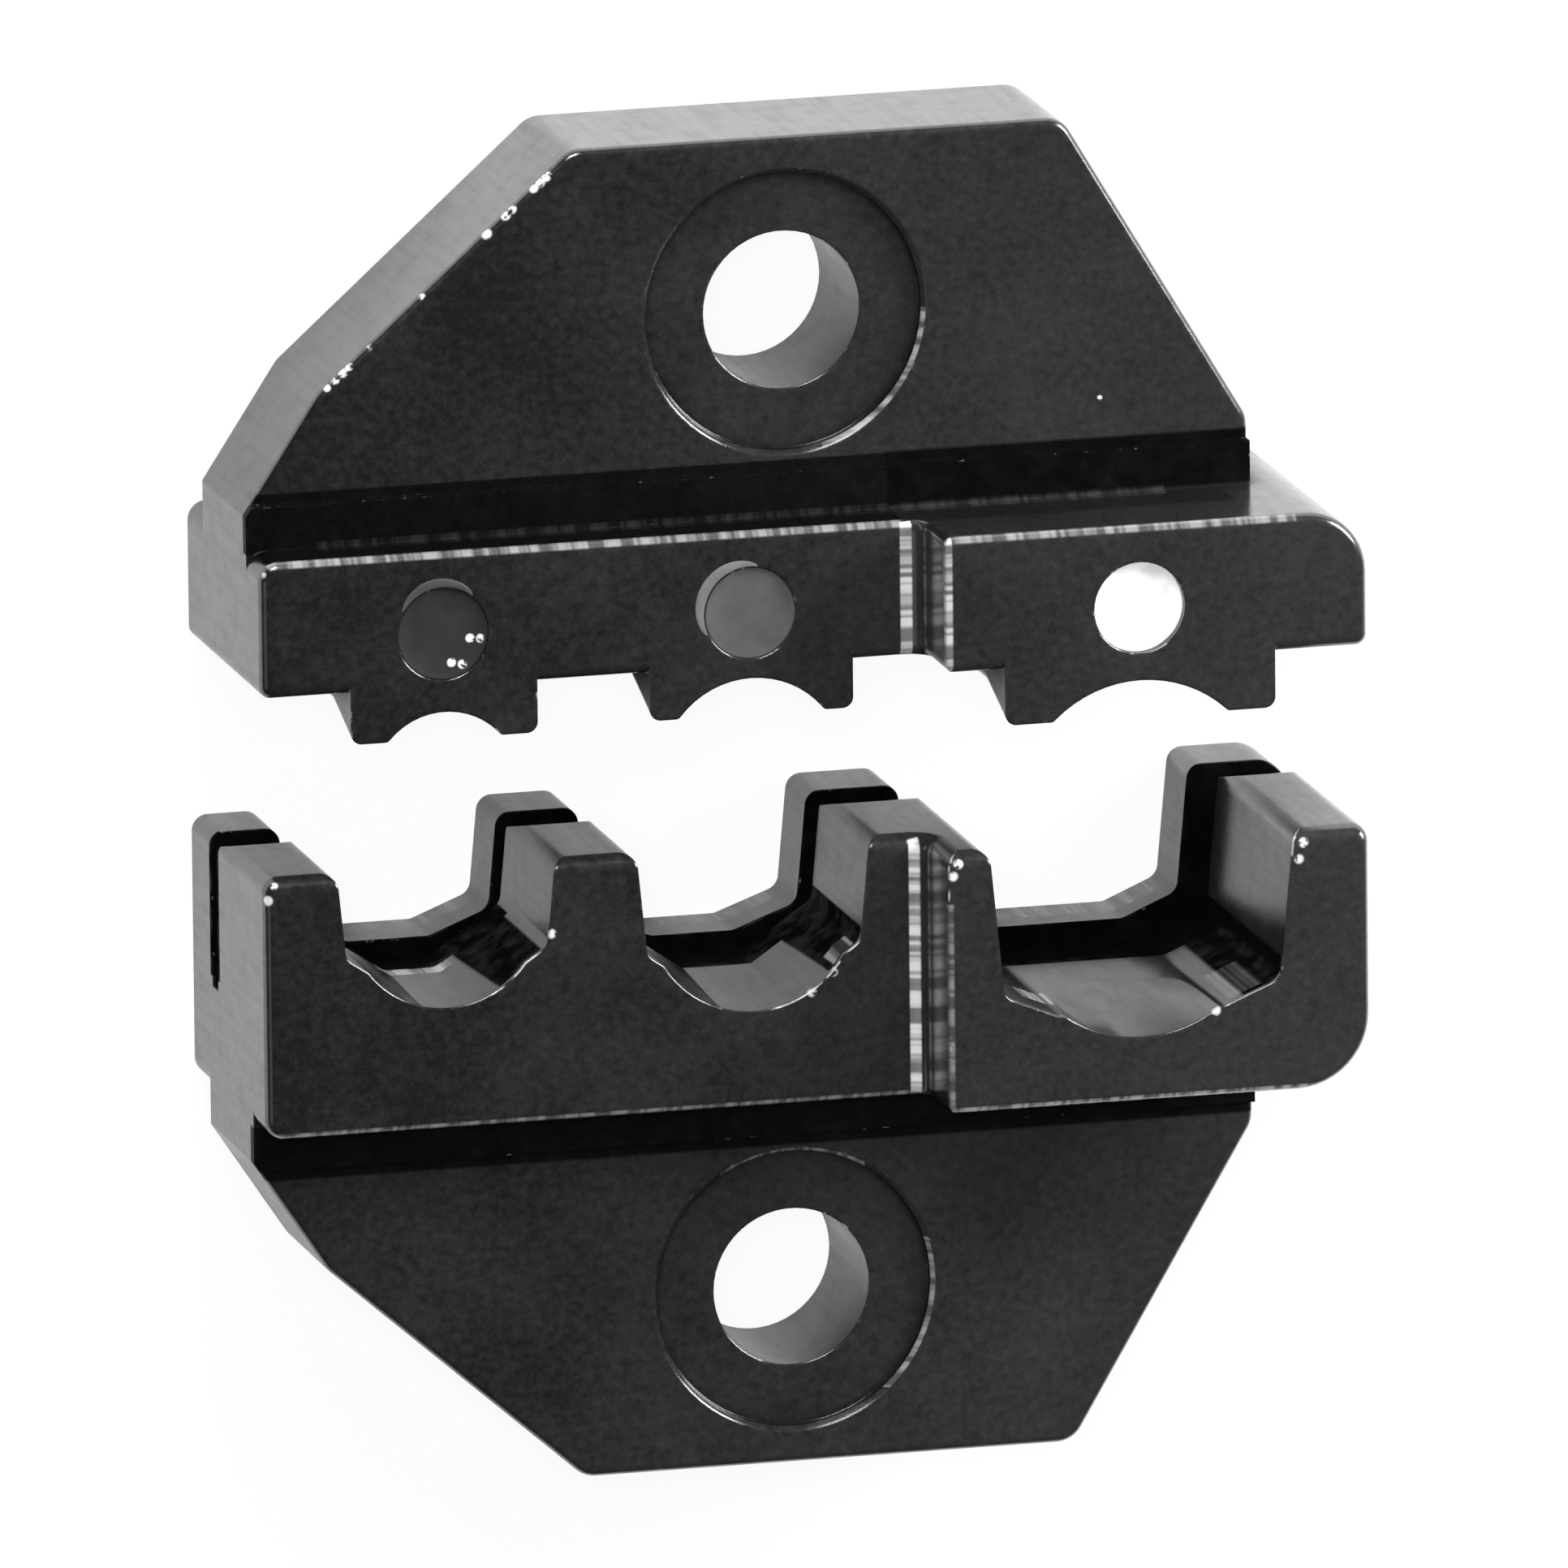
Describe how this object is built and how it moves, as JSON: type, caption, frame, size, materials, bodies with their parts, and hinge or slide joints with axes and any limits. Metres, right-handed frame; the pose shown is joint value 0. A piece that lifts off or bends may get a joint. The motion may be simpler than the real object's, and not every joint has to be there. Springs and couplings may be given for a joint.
{
  "type": "crimp die insert",
  "caption": "Pair of crimp dies for insulated terminals: stepped nests in one, matching lugs in the other, each with a screw-mounted tail.",
  "frame": {"origin": "on the plane that the backs of both dies lie on, midway between the two screw holes", "axes": "+X along the width, from the small nest to the large one; +Y the closing direction, from the lower die to the upper die; +Z out of the front faces"},
  "size_m": [0.0346, 0.0422, 0.0121],
  "materials": {
    "lower_die": "black oxide, satin",
    "upper_die": "black oxide, satin",
    "enamel_dot_small": "dark enamel",
    "enamel_dot_medium": "grey enamel",
    "enamel_dot_large": "white enamel"
  },
  "bodies": {
    "lower": {"lower_die": "lower_die"},
    "upper": {"upper_die": "upper_die", "enamel_dot_small": "enamel_dot_small", "enamel_dot_medium": "enamel_dot_medium", "enamel_dot_large": "enamel_dot_large"}
  },
  "joints": [
    {"name": "closing_stroke", "type": "slide", "parent": "lower", "child": "upper", "axis": [0, -1, 0], "range_m": [0, 0.0054]}
  ]
}
